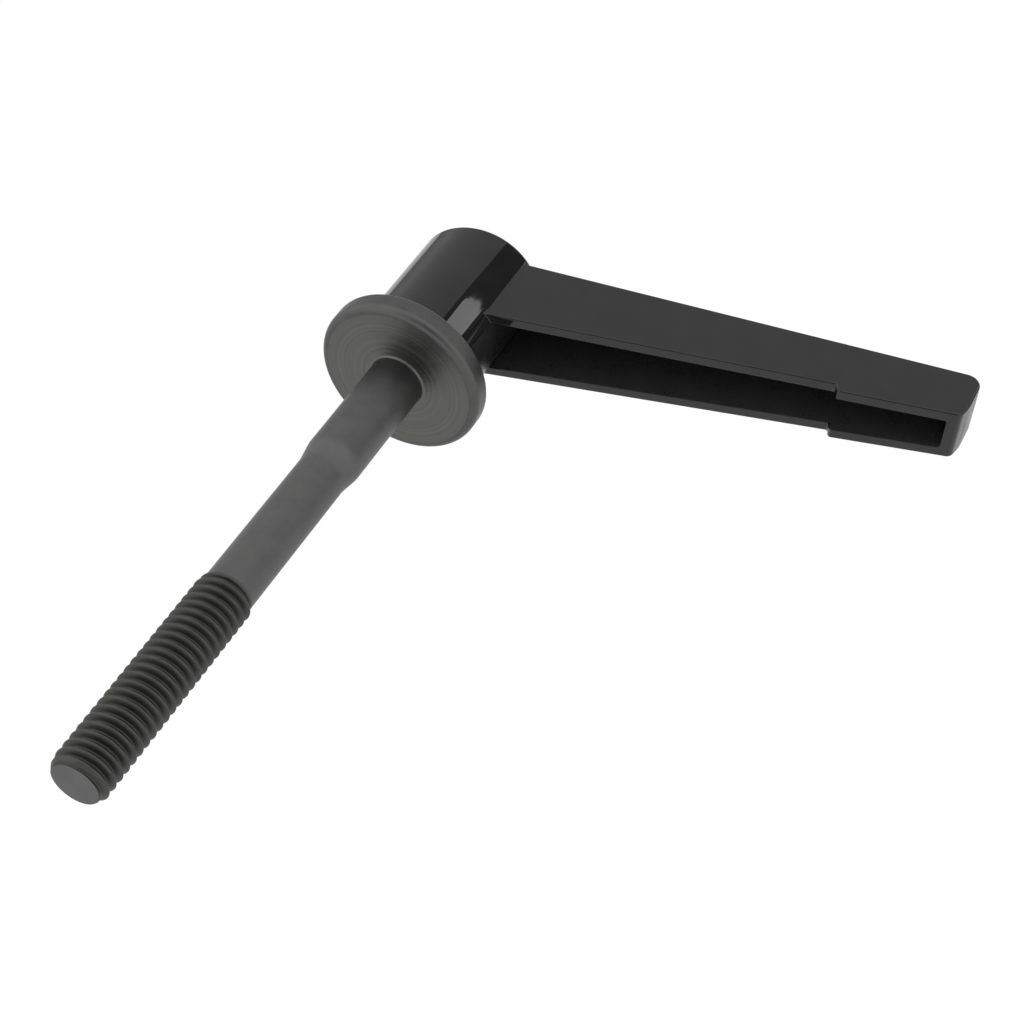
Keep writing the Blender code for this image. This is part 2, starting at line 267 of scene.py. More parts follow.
def node(tree, kind, inputs=(), **settings):
    """Adds a node. Inputs are (name or number, value or output socket) pairs."""
    made = tree.nodes.new(kind)
    for key, value in settings.items():
        setattr(made, key, value)
    for key, value in inputs:
        if isinstance(value, bpy.types.NodeSocket):
            tree.links.new(value, made.inputs[key])
        else:
            made.inputs[key].default_value = value
    return made


def math_node(tree, operation, *values, clamp=False):
    made = node(tree, "ShaderNodeMath", list(enumerate(values)), operation=operation)
    made.use_clamp = clamp
    return made.outputs[0]


def map_range(tree, value, low, high, out_low, out_high):
    made = node(tree, "ShaderNodeMapRange",
                [(0, value), (1, low), (2, high), (3, out_low), (4, out_high)])
    return made.outputs[0]


def mix_colour(tree, factor, first, second):
    made = node(tree, "ShaderNodeMix", [(0, factor), (6, first), (7, second)], data_type="RGBA")
    return made.outputs[2]


def mix_value(tree, factor, first, second):
    made = node(tree, "ShaderNodeMix", [(0, factor), (2, first), (3, second)], data_type="FLOAT")
    return made.outputs[0]


def shared(tree, first, second, share):
    """The first value times the share, plus the second times the rest."""
    return math_node(tree, "ADD", math_node(tree, "MULTIPLY", first, share),
                     math_node(tree, "MULTIPLY", second, 1.0 - share))


def noise(tree, vector, scale, detail, roughness):
    made = node(tree, "ShaderNodeTexNoise",
                [("Vector", vector), ("Scale", scale), ("Detail", detail), ("Roughness", roughness)])
    return made.outputs[0]


def object_coordinates(tree):
    return node(tree, "ShaderNodeTexCoord").outputs["Object"]


def distance_from_axis(tree, coordinates):
    """Radius from the stud's axis, which is the object's Y axis, and the place along it."""
    split = node(tree, "ShaderNodeSeparateXYZ", [(0, coordinates)])
    x2 = math_node(tree, "MULTIPLY", split.outputs[0], split.outputs[0])
    z2 = math_node(tree, "MULTIPLY", split.outputs[2], split.outputs[2])
    radius = math_node(tree, "SQRT", math_node(tree, "ADD", x2, z2))
    return radius, split.outputs[1]


def dot_with(tree, direction, axis):
    """How far a direction or place lies along an axis."""
    made = node(tree, "ShaderNodeVectorMath", [(0, direction), (1, Vector(axis).normalized())],
                operation="DOT_PRODUCT")
    return made.outputs["Value"]


def bump(tree, height, distance, strength=1.0, normal=None):
    inputs = [("Height", height), ("Distance", distance), ("Strength", strength)]
    if normal:
        inputs.append(("Normal", normal))
    return node(tree, "ShaderNodeBump", inputs).outputs[0]


def tinted(base, red, green, blue):
    return (base * red, base * green, base * blue, 1.0)


# Materials

def blacked_steel(name, base, roughness, anisotropy, ring_bump, ring_scale, ring_share, contrast,
                  root=0.0):
    """Black oxide on turned steel: fine rings about the axis and faint mottling.
    A root above 0 is for the thread. It warms and darkens the root by that share, and lets the
    colour end in the shank's tone."""
    material = new_material(name)
    tree = material.node_tree
    shader = tree.nodes["Principled BSDF"]
    place = object_coordinates(tree)
    radius, along = distance_from_axis(tree, place)
    ring_place = node(tree, "ShaderNodeCombineXYZ", [(0, radius), (1, along)]).outputs[0]
    rings = noise(tree, ring_place, ring_scale, detail=4.0, roughness=0.65)
    coarse_rings = noise(tree, ring_place, ring_scale * COARSE_RING_SCALE, detail=2.0, roughness=0.5)
    mottle = noise(tree, place, scale=420.0, detail=4.0, roughness=0.6)
    grain = noise(tree, place, scale=9000.0, detail=2.0, roughness=0.5)
    shade = map_range(tree, shared(tree, rings, mottle, ring_share), *CRISP, 0.0, 1.0)
    dark = tinted(base, 1 - contrast, 1 - contrast, 1 - contrast)
    light = tinted(base, 1 + contrast, 1 + contrast * 0.93, 1 + contrast * 0.75)
    colour = mix_colour(tree, shade, dark, light)
    if root:
        deep = map_range(tree, radius, THREAD_D / 2 - THREAD_DEPTH, THREAD_D / 2 - ROOT_TONE_TOP, 1.0, 0.0)
        brown = tinted(base, 1 - root, 1 - root * 1.1, 1 - root * 1.5)
        colour = mix_colour(tree, deep, colour, brown)
        ended = map_range(tree, along, THREAD_STOP_Y - THREAD_TONE_FADE, THREAD_STOP_Y, 0.0, 1.0)
        colour = mix_colour(tree, ended, colour, tinted(SHANK_TONE, 1, 1, 1))
    tree.links.new(colour, shader.inputs["Base Color"])
    rough = map_range(tree, shared(tree, mottle, rings, 0.5), *SOFT,
                      roughness - BLACKED_ROUGHNESS_SPREAD, roughness + BLACKED_ROUGHNESS_SPREAD)
    tree.links.new(rough, shader.inputs["Roughness"])
    shader.inputs["Metallic"].default_value = 1.0
    shader.inputs["Anisotropic"].default_value = anisotropy
    tangent = node(tree, "ShaderNodeTangent", direction_type="RADIAL", axis="Y")
    tree.links.new(tangent.outputs[0], shader.inputs["Tangent"])
    normal = bump(tree, grain, GRAIN_BUMP, strength=0.5)
    normal = bump(tree, rings, ring_bump, normal=normal)
    normal = bump(tree, coarse_rings, ring_bump * COARSE_RING_BUMP, normal=normal)
    tree.links.new(normal, shader.inputs["Normal"])
    return material


def enamel(name, base, roughness, peel, contrast, hub_shade=1.0):
    """Gloss black enamel with a faint orange peel. Beside the hub its colour is multiplied by
    the last argument, which paints shade into the corner where the channel meets the hub."""
    material = new_material(name)
    tree = material.node_tree
    shader = tree.nodes["Principled BSDF"]
    place = object_coordinates(tree)
    slow = noise(tree, place, scale=260.0, detail=2.0, roughness=0.5)
    fine = noise(tree, place, scale=1500.0, detail=3.0, roughness=0.55)
    dust = noise(tree, place, scale=5200.0, detail=2.0, roughness=0.6)
    dark = tinted(base, 1 - contrast, 1 - contrast, 1 - contrast * 0.8)
    light = tinted(base, 1 + contrast, 1 + contrast, 1 + contrast * 1.1)
    colour = mix_colour(tree, map_range(tree, slow, *MEDIUM, 0.0, 1.0), dark, light)
    # Painted shade: darkens the colour in the corner where the channel meets the hub
    if hub_shade != 1.0:
        radius = distance_from_axis(tree, place)[0]
        share = map_range(tree, radius, HUB_R, HUB_R + HUB_SHADE_REACH, hub_shade, 1.0)
        scaled = node(tree, "ShaderNodeVectorMath", [(0, colour), ("Scale", share)], operation="SCALE")
        colour = scaled.outputs[0]
    tree.links.new(colour, shader.inputs["Base Color"])
    rough = map_range(tree, shared(tree, slow, dust, 0.5), *SOFT,
                      roughness * (1 - ENAMEL_ROUGHNESS_SPREAD), roughness * (1 + ENAMEL_ROUGHNESS_SPREAD))
    tree.links.new(rough, shader.inputs["Roughness"])
    shader.inputs["IOR"].default_value = ENAMEL_IOR
    normal = bump(tree, slow, peel * SLOW_PEEL)
    normal = bump(tree, fine, peel, normal=normal)
    tree.links.new(normal, shader.inputs["Normal"])
    return material


def plain_steel(name, base, roughness, ring_scale):
    """Bare or lightly blacked steel with fine rings about the axis."""
    material = new_material(name)
    tree = material.node_tree
    shader = tree.nodes["Principled BSDF"]
    place = object_coordinates(tree)
    radius, along = distance_from_axis(tree, place)
    ring_place = node(tree, "ShaderNodeCombineXYZ", [(0, radius), (1, along)]).outputs[0]
    rings = noise(tree, ring_place, ring_scale, detail=4.0, roughness=0.6)
    mottle = noise(tree, place, scale=900.0, detail=3.0, roughness=0.6)
    dark = tinted(base, 0.8, 0.8, 0.82)
    light = tinted(base, 1.2, 1.19, 1.17)
    colour = mix_colour(tree, map_range(tree, mottle, *SOFT, 0.0, 1.0), dark, light)
    tree.links.new(colour, shader.inputs["Base Color"])
    rough = map_range(tree, rings, *SOFT,
                      roughness - STEEL_ROUGHNESS_SPREAD, roughness + STEEL_ROUGHNESS_SPREAD)
    tree.links.new(rough, shader.inputs["Roughness"])
    shader.inputs["Metallic"].default_value = 1.0
    tree.links.new(bump(tree, rings, STEEL_BUMP), shader.inputs["Normal"])
    return material


# Mesh helpers

def linked(name, mesh):
    made = bpy.data.objects.new(name, mesh)
    bpy.context.collection.objects.link(made)
    return made


def mesh_object(name, bm):
    """An object made from a bmesh, which is used up."""
    mesh = bpy.data.meshes.new(name)
    bm.to_mesh(mesh)
    bm.free()
    return linked(name, mesh)


def temporary(name, bm):
    """An object that only feeds another one."""
    bmesh.ops.recalc_face_normals(bm, faces=bm.faces)
    return mesh_object(name, bm)


def drop(*objects):
    for obj in objects:
        mesh = obj.data
        bpy.data.objects.remove(obj, do_unlink=True)
        bpy.data.meshes.remove(mesh)


def applied(obj):
    """A copy of the object whose modifiers are applied to its mesh."""
    graph = bpy.context.evaluated_depsgraph_get()
    mesh = bpy.data.meshes.new_from_object(obj.evaluated_get(graph))
    return linked(obj.name + "_applied", mesh)


def combined(obj, other, operation):
    """The object with one boolean applied. Both inputs are removed."""
    modifier = obj.modifiers.new("combine", "BOOLEAN")
    modifier.operation, modifier.solver, modifier.object = operation, "EXACT", other
    made = applied(obj)
    drop(obj, other)
    return made


def to_bmesh(obj):
    """The object's mesh as a bmesh. The object is removed."""
    bm = bmesh.new()
    bm.from_mesh(obj.data)
    drop(obj)
    return bm


def finish_piece(name, bm, materials, body, sharp_angle):
    """Turns a bmesh into a piece of the object, smooth over all but its sharp edges."""
    bmesh.ops.recalc_face_normals(bm, faces=bm.faces)
    piece = mesh_object(name, bm)
    piece.data.shade_smooth()
    piece.data.set_sharp_from_angle(angle=math.radians(sharp_angle))
    for material in materials:
        piece.data.materials.append(material)
    piece.modifiers.new("face_normals", "WEIGHTED_NORMAL").keep_sharp = True
    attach(piece, body)
    return piece


def ring(bm, radii, y, segments=SEGMENTS, slope=0.0):
    """One ring round the Y axis. The radius is one number or one for each point."""
    radii = np.broadcast_to(radii, segments)
    points = []
    for i, radius in enumerate(radii):
        angle = 2 * math.pi * i / segments
        x = radius * math.cos(angle)
        points.append(bm.verts.new((x, y + slope * x, radius * math.sin(angle))))
    return points


def skin(bm, near, far):
    """The band of faces between two rings."""
    faces = []
    for i in range(len(near)):
        j = (i + 1) % len(near)
        faces.append(bm.faces.new((near[i], near[j], far[j], far[i])))
    return faces


def loft(bm, rings):
    """Joins rings of equal length into one closed skin with flat ends."""
    for near, far in zip(rings, rings[1:]):
        skin(bm, near, far)
    bm.faces.new(rings[0])
    bm.faces.new(rings[-1])


def quarter_round(radius, y, size, turn, steps=8):
    """Profile points of a rounded edge. Turn +1 leads from a front face to the side, -1 from
    the side to a back face."""
    points = []
    for i in range(steps + 1):
        angle = math.pi / 2 * i / steps
        if turn > 0:
            points.append((radius - size + size * math.sin(angle), y + size - size * math.cos(angle)))
        else:
            points.append((radius - size + size * math.cos(angle), y - size + size * math.sin(angle)))
    return points


def arc(centre_x, centre_y, radius, start, end, steps):
    """Points on a circle from one angle to another, in side view."""
    points = []
    for i in range(steps + 1):
        angle = math.radians(start + (end - start) * i / steps)
        points.append((centre_x + radius * math.cos(angle), centre_y + radius * math.sin(angle)))
    return points


def smooth_step(value, low, high):
    t = np.clip((value - low) / (high - low), 0.0, 1.0)
    return t * t * (3 - 2 * t)


# Stud

def thread_depth_table():
    """Depth below the crest over one pitch from crest to crest, with rounded crest and root."""
    phase = (np.arange(PROFILE_SAMPLES) + 0.5) / PROFILE_SAMPLES
    from_crest = np.minimum(phase, 1 - phase) * THREAD_PITCH
    depth = (from_crest - THREAD_CREST / 2) / math.tan(math.radians(THREAD_FLANK))
    depth = np.clip(depth, 0.0, THREAD_DEPTH)
    for width in PROFILE_SMOOTHING:
        kernel = np.ones(width) / width
        wrapped = np.concatenate([depth[-width:], depth, depth[:width]])
        depth = np.convolve(wrapped, kernel, "same")[width:-width]
    depth -= depth.min()
    return phase, depth * (THREAD_DEPTH / depth.max())


def thread_radius(y, angle, table):
    """Radius of the bar at a height and angle: thread, tip chamfer and run-out in one."""
    phase = ((y - FIRST_CREST_Y) / THREAD_PITCH + angle / (2 * math.pi)) % 1.0
    depth = np.interp(phase, *table, period=1.0)
    full = THREAD_D / 2 - depth
    blank = REDUCED_SHANK_D / 2
    root_fade = smooth_step(y, *ROOT_FADE_Y)
    crest_fade = smooth_step(y, *CREST_FADE_Y)
    fade = np.where(full < blank, root_fade, crest_fade)
    radius = full + (blank - full) * fade
    chamfer = TIP_FACE_D / 2 + (y - TIP_Y) * (THREAD_D - TIP_FACE_D) / 2 / TIP_CHAMFER
    return np.minimum(radius, chamfer)


def thread_rows(bm, end_y):
    """Rows of points that follow the helix from the tip face to end_y. Returns the tip ring."""
    table = thread_depth_table()
    angles = 2 * math.pi * np.arange(SEGMENTS) / SEGMENTS
    rows = int(math.ceil(((end_y - TIP_Y) / THREAD_PITCH + 1.0) * THREAD_ROWS)) + 1
    grid = []
    for i in range(rows):
        y = TIP_Y + THREAD_PITCH * (i / THREAD_ROWS - angles / (2 * math.pi))
        y = np.clip(y, TIP_Y, end_y)
        radius = thread_radius(y, angles, table)
        points = zip(radius * np.cos(angles), y, radius * np.sin(angles))
        grid.append([bm.verts.new(point) for point in points])
    for i in range(rows - 1):
        for n in range(SEGMENTS):
            if n < SEGMENTS - 1:
                far, far_next = grid[i][n + 1], grid[i + 1][n + 1]
            else:
                far, far_next = grid[max(i - THREAD_ROWS, 0)][0], grid[max(i + 1 - THREAD_ROWS, 0)][0]
            if far is not far_next or grid[i][n] is not grid[i + 1][n]:
                corners = list(dict.fromkeys((grid[i][n], grid[i + 1][n], far_next, far)))
                if len(corners) > 2:
                    bm.faces.new(corners)
    return grid[0]


def tooth_radii(tip_r, root_r):
    """Radii round one ring of teeth with narrow flats at tip and root."""
    turn = np.arange(SEGMENTS) / SEGMENTS * TEETH
    t = np.abs((turn % 1.0) * 2 - 1)
    t = (np.clip(t, TOOTH_FLAT, 1 - TOOTH_FLAT) - TOOTH_FLAT) / (1 - 2 * TOOTH_FLAT)
    return root_r + (tip_r - root_r) * t


def cone_profile():
    reduced_r, full_r = REDUCED_SHANK_D / 2, FULL_SHANK_D / 2
    profile = [(reduced_r, CONE_START_Y - CONE_LEAD_IN)]
    for i in range(ROUND_STEPS + 1):
        t = i / ROUND_STEPS
        blend = t * t * (3 - 2 * t) * CONE_SOFTNESS + t * (1 - CONE_SOFTNESS)
        profile.append((reduced_r + (full_r - reduced_r) * blend,
                        CONE_START_Y + (CONE_END_Y - CONE_START_Y) * t))
    profile.append((full_r, CONE_END_Y + CONE_LEAD_OUT))
    return profile


def face_profile():
    """The fillet at the shank's base and the collar's turned face."""
    shank_r = FULL_SHANK_D / 2
    profile = []
    for i in range(ROUND_STEPS + 1):
        angle = math.pi / 2 * i / ROUND_STEPS
        profile.append((shank_r + BASE_FILLET * (1 - math.cos(angle)),
                        -BASE_FILLET * (1 - math.sin(angle))))
    inner_r = shank_r + BASE_FILLET
    outer_r = COLLAR_D / 2 - COLLAR_FRONT_ROUND
    profile += [(inner_r + (outer_r - inner_r) * share, 0.0) for share in FACE_RINGS]
    return profile


def boss_rings(bm):
    """The toothed boss behind the collar, its guide and the tapped hole in it."""
    tooth = tooth_radii(TOOTH_TIP_R, TOOTH_ROOT_R)
    tooth_chamfer = TOOTH_TIP_R - TOOTH_ROOT_R
    profile = ((tooth, COLLAR_THICKNESS), (tooth, TOOTH_TOP_Y - tooth_chamfer / 2),
               (TOOTH_ROOT_R - TOOTH_TOP_INSET, TOOTH_TOP_Y), (GUIDE_R, TOOTH_TOP_Y),
               (GUIDE_R, GUIDE_TOP_Y - GUIDE_CHAMFER), (GUIDE_R - GUIDE_CHAMFER, GUIDE_TOP_Y),
               (HOLE_R + HOLE_CHAMFER, GUIDE_TOP_Y), (HOLE_R, GUIDE_TOP_Y - HOLE_CHAMFER),
               (HOLE_R, HOLE_BOTTOM_Y))
    return [ring(bm, radii, y) for radii, y in profile]


def build_stud():
    bm = bmesh.new()
    bm.faces.new(thread_rows(bm, THREAD_STOP_Y))
    bmesh.ops.remove_doubles(bm, verts=bm.verts, dist=WELD_DISTANCE)
    last = sorted((v for v in bm.verts if abs(v.co.y - THREAD_STOP_Y) < SAME_HEIGHT),
                  key=lambda v: math.atan2(v.co.z, v.co.x) % (2 * math.pi))
    profile = cone_profile()
    shank_end = len(profile)
    profile += face_profile()
    face_end = len(profile)
    profile += quarter_round(COLLAR_D / 2, 0.0, COLLAR_FRONT_ROUND, 1, steps=10)
    profile += quarter_round(COLLAR_D / 2, COLLAR_THICKNESS, COLLAR_BACK_ROUND, -1, steps=5)
    rim_end = len(profile) - 1
    rings = [last] + [ring(bm, radius, y) for radius, y in profile] + boss_rings(bm)
    for i, (near, far) in enumerate(zip(rings, rings[1:])):
        for face in skin(bm, near, far):
            if shank_end < i <= rim_end:
                face.material_index = 1 if i <= face_end else 2
    bm.faces.new(rings[-1])
    for face in bm.faces:
        if TIP_Y + TIP_FACE_DEPTH < face.calc_center_median().y < THREAD_STOP_Y:
            face.material_index = 3
    materials = [
        blacked_steel("blacked_steel", SHANK_TONE, roughness=0.44, anisotropy=0.4,
                      ring_bump=0.001 * MM, ring_scale=3500.0, ring_share=0.15, contrast=0.07),
        blacked_steel("turned_collar", 0.128, roughness=0.41, anisotropy=0.28,
                      ring_bump=0.065 * MM, ring_scale=2000.0, ring_share=0.8, contrast=0.20),
        blacked_steel("collar_rim", 0.100, roughness=0.42, anisotropy=0.3,
                      ring_bump=0.006 * MM, ring_scale=2600.0, ring_share=0.4, contrast=0.12),
        blacked_steel("rolled_thread", 0.080, roughness=0.50, anisotropy=0.0,
                      ring_bump=0.004 * MM, ring_scale=3000.0, ring_share=0.3, contrast=0.14, root=0.2)]
    stud = finish_piece("stud_turned", bm, materials, "stud", sharp_angle=50)
    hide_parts("stud_with_collar")


# Lever

def back_y(x):
    return ARM_BACK_Y + ARM_BACK_SLOPE * x


def rim_y(x):
    return ARM_RIM_Y + ARM_RIM_SLOPE * x


def half_width(x):
    return ARM_HALF_WIDTH + ARM_WIDTH_SLOPE * x


def end_rim_centre():
    """Centre of the rounding between the rim and the end face, which touches both."""
    lean = math.sqrt(1 + ARM_RIM_SLOPE ** 2)
    arc_x = ARM_END_X - END_ARC_R
    # The centre lies on the line y = rise + slope * x and END_ARC_R - END_RIM_ROUND from the arc's centre
    rise = ARM_RIM_Y - STEP_DROP + END_RIM_ROUND * lean
    offset = rise + ARM_RIM_SLOPE * arc_x - END_ARC_TOP_Y
    reach = (END_ARC_R - END_RIM_ROUND) ** 2
    past_arc_x = (-ARM_RIM_SLOPE * offset + math.sqrt(reach * lean ** 2 - offset ** 2)) / lean ** 2
    return arc_x + past_arc_x, rise + ARM_RIM_SLOPE * (arc_x + past_arc_x)


def arm_outline():
    """The arm seen from the side, from the hub along the stepped rim and back over the end."""
    back_angle = math.degrees(math.atan(ARM_BACK_SLOPE))
    rim_angle = math.degrees(math.atan(ARM_RIM_SLOPE))
    round_x, round_y = end_rim_centre()
    touch_angle = math.degrees(math.atan2(round_y - END_ARC_TOP_Y, round_x - ARM_END_X + END_ARC_R))
    back_centre_x = ARM_END_X - END_BACK_ROUND
    back_touch_x = back_centre_x - END_BACK_ROUND * math.sin(math.radians(back_angle))
    back_centre_y = back_y(back_touch_x) - END_BACK_ROUND * math.cos(math.radians(back_angle))
    outline = [(0.0, rim_y(0.0)), (STEP_X, rim_y(STEP_X)),
               (STEP_X + STEP_RUN, rim_y(STEP_X + STEP_RUN) - STEP_DROP)]
    outline += arc(round_x, round_y, END_RIM_ROUND, rim_angle - 90, touch_angle, ROUND_STEPS)
    outline += arc(ARM_END_X - END_ARC_R, END_ARC_TOP_Y, END_ARC_R, touch_angle, 0, ROUND_STEPS)[1:]
    outline += arc(back_centre_x, back_centre_y, END_BACK_ROUND, 0, back_angle + 90, END_BACK_STEPS)
    outline.append((0.0, back_y(0.0)))
    return outline


def arm_solid():
    bm = bmesh.new()
    outline = arm_outline()
    sides = [[bm.verts.new((x, y, side * half_width(x))) for x, y in outline] for side in (-1, 1)]
    loft(bm, sides)
    return temporary("arm", bm)


def channel_solid():
    """The hollow of the arm, open towards the stud, a little narrower at its floor."""
    bm = bmesh.new()
    start_x = HUB_R / 2
    rings = []
    for x in (start_x, CHANNEL_END_X):
        mouth = half_width(x) - ARM_WALL
        floor = mouth - CHANNEL_DRAFT
        floor_x = x if x == start_x else x - CHANNEL_DRAFT
        floor_y = back_y(x) - ARM_BACK_WALL
        corners = ((x, CHANNEL_MOUTH_Y, -mouth), (x, CHANNEL_MOUTH_Y, mouth),
                   (floor_x, floor_y, floor), (floor_x, floor_y, -floor))
        rings.append([bm.verts.new(corner) for corner in corners])
    loft(bm, rings)
    return temporary("channel", bm)


def hub_columns():
    """Angles of the hub's points, in radians. Some lie exactly where the arm's faces meet the hub."""
    exact = []
    for offset in (0.0, ARM_WALL):
        x = math.sqrt(HUB_R ** 2 - (half_width(ARM_MEETS_HUB_X) - offset) ** 2)
        angle = math.atan2(half_width(x) - offset, x)
        exact += [angle, -angle]
    columns = [2 * math.pi * i / SEGMENTS - math.pi for i in range(SEGMENTS)]
    near = COLUMN_CLEARANCE * 2 * math.pi / SEGMENTS
    columns = [a for a in columns if all(abs(a - e) > near for e in exact)]
    return sorted(columns + exact)


def hub_ring(bm, radius, y, slope=0.0):
    points = []
    for angle in hub_columns():
        x = radius * math.cos(angle)
        points.append(bm.verts.new((x, y + slope * x, radius * math.sin(angle))))
    return points


def hub_solid():
    bm = bmesh.new()
    bottom = quarter_round(HUB_R, HUB_BOTTOM_Y, HUB_BOTTOM_ROUND, 1, steps=4)
    top = quarter_round(HUB_R, HUB_TOP_Y, HUB_TOP_ROUND, -1)
    loft(bm, [hub_ring(bm, radius, y) for radius, y in bottom]
         + [hub_ring(bm, radius, y, HUB_TOP_SLOPE) for radius, y in top])
    return temporary("hub", bm)


def socket_solid():
    """The toothed socket in the hub's underside and the plain pocket over it."""
    bm = bmesh.new()
    tip_r, root_r = TOOTH_TIP_R + TOOTH_PLAY, TOOTH_ROOT_R + TOOTH_PLAY
    teeth = tooth_radii(tip_r, root_r)
    profile = ((teeth + SOCKET_CHAMFER, HUB_BOTTOM_Y - SOCKET_CUT_OVERLAP),
               (teeth, HUB_BOTTOM_Y + SOCKET_CHAMFER), (teeth, SOCKET_TOOTH_TOP_Y),
               (tip_r + RING_GAP, SOCKET_TOOTH_TOP_Y), (tip_r + RING_GAP, SOCKET_TOP_Y))
    loft(bm, [ring(bm, radii, y) for radii, y in profile])
    return temporary("socket", bm)


def counterbore_solid():
    """The clearance hole through the web and the wide bore from the top, with a broken edge."""
    bm = bmesh.new()
    profile = ((WEB_HOLE_R, SOCKET_TOP_Y - CUT_OVERLAP, 0.0), (WEB_HOLE_R, WEB_TOP_Y, 0.0),
               (COUNTERBORE_R, WEB_TOP_Y, 0.0),
               (COUNTERBORE_R, HUB_TOP_Y - COUNTERBORE_EDGE, HUB_TOP_SLOPE),
               (COUNTERBORE_R + 3 * COUNTERBORE_EDGE, HUB_TOP_Y + 2 * COUNTERBORE_EDGE, HUB_TOP_SLOPE))
    loft(bm, [ring(bm, radius, y, slope=slope) for radius, y, slope in profile])
    return temporary("counterbore", bm)


def edge_round(middle, direction):
    """Radius to give an edge of the lever from where it lies, or 0 to leave it sharp."""
    x, y, z = middle
    width = half_width(x)
    if x < HUB_CORE_X:
        return 0.0
    on_arm_side = abs(abs(z) - width) < ON_FACE
    if abs(math.hypot(x, z) - HUB_R) < ON_FACE:
        near_back = abs(y - back_y(x)) < NEAR_EDGE
        return HUB_BACK_ROUND if near_back and not on_arm_side else HUB_CORNER_ROUND
    if on_arm_side:
        return OUTER_EDGE_ROUND
    if abs(direction.z) > ACROSS and STEP_X - NEAR_EDGE < x < STEP_X + STEP_RUN + NEAR_EDGE:
        return STEP_ROUND
    if abs(z) < width - ARM_WALL + WALL_REACH and y > rim_y(x) + BELOW_RIM:
        return CHANNEL_FLOOR_ROUND
    return RIM_EDGE_ROUND


def round_edges(obj):
    """Gives every sharp edge of the casting its own rounding."""
    bm = bmesh.new()
    bm.from_mesh(obj.data)
    bmesh.ops.dissolve_limit(bm, angle_limit=math.radians(FLAT_BELOW), verts=bm.verts, edges=bm.edges)
    layer = bm.edges.layers.float.new("bevel_weight_edge")
    for edge in bm.edges:
        if len(edge.link_faces) == 2 and edge.calc_face_angle() > math.radians(ROUNDED_FROM):
            a, b = edge.verts
            middle = (a.co + b.co) / 2
            edge[layer] = edge_round(middle, (b.co - a.co).normalized()) / WIDEST_ROUND
    bm.to_mesh(obj.data)
    bm.free()
    modifier = obj.modifiers.new("round", "BEVEL")
    modifier.limit_method = "WEIGHT"
    modifier.width = WIDEST_ROUND
    modifier.segments = ROUNDING_STEPS
    modifier.use_clamp_overlap = False
    made = applied(obj)
    drop(obj)
    return made


def in_channel(x, y, z):
    between_walls = x > CHANNEL_START_X and abs(z) < half_width(x) - ARM_WALL + CHANNEL_REACH
    low = rim_y(x) + CHANNEL_RIM_MARGIN
    high = back_y(x) - ARM_BACK_WALL + CHANNEL_FLOOR_MARGIN
    return between_walls and low < y < high


def build_lever():
    casting = combined(hub_solid(), combined(arm_solid(), channel_solid(), "DIFFERENCE"), "UNION")
    casting = round_edges(casting)
    casting = combined(casting, socket_solid(), "DIFFERENCE")
    casting = combined(casting, counterbore_solid(), "DIFFERENCE")
    bm = to_bmesh(casting)
    for face in bm.faces:
        face.material_index = int(in_channel(*face.calc_center_median()))
    materials = [
        enamel("gloss_black_enamel", 0.007, roughness=0.035, peel=0.0008 * MM, contrast=0.17),
        # the channel's enamel carries painted shade where it meets the hub
        enamel("enamel_in_channel", 0.024, roughness=0.32, peel=0.0002 * MM, contrast=0.07, hub_shade=0.5)]
    lever = finish_piece("lever_casting", bm, materials, "lever", sharp_angle=35)
    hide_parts("lever")


# Screw and spring

def build_screw():
    bm = bmesh.new()
    profile = [(SCREW_THREAD_R - SCREW_TIP_CHAMFER, SCREW_TIP_Y),
               (SCREW_THREAD_R, SCREW_TIP_Y + SCREW_TIP_CHAMFER),
               (SCREW_THREAD_R, SHOULDER_BOTTOM_Y), (SHOULDER_R, SHOULDER_BOTTOM_Y),
               (SHOULDER_R, HEAD_BOTTOM_Y)]
    profile += quarter_round(HEAD_R, HEAD_BOTTOM_Y, HEAD_BOTTOM_ROUND, 1, steps=3)
    profile += quarter_round(HEAD_R, HEAD_TOP_Y - HEAD_CROWN, HEAD_TOP_ROUND, -1, steps=6)
    profile += [(HEAD_R * share, HEAD_TOP_Y - depth) for share, depth in CROWN_POINTS]
    loft(bm, [ring(bm, radius, y, SCREW_SEGMENTS) for radius, y in profile])
    blank = temporary("screw", bm)
    slot = bmesh.new()
    bmesh.ops.create_cube(slot, size=1.0)
    bmesh.ops.scale(slot, verts=slot.verts, vec=(3 * HEAD_R, 2 * SLOT_DEPTH, SLOT_WIDTH))
    bmesh.ops.translate(slot, verts=slot.verts, vec=(0.0, HEAD_TOP_Y, 0.0))
    slotted = combined(blank, temporary("slot", slot), "DIFFERENCE")
    steel = plain_steel("screw_steel", 0.13, roughness=0.33, ring_scale=5000.0)
    screw = finish_piece("shoulder_screw", to_bmesh(slotted), [steel], "stud", sharp_angle=30)
    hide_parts("retaining_screw")


def spring_height(turn, active_pitch):
    """Height of the wire's centre line after a number of turns: close, then open, then close."""
    closed = min(turn, END_TURNS) + max(turn - END_TURNS - ACTIVE_TURNS, 0.0)
    opened = min(max(turn - END_TURNS, 0.0), ACTIVE_TURNS)
    return closed * END_TURN_PITCH + opened * active_pitch


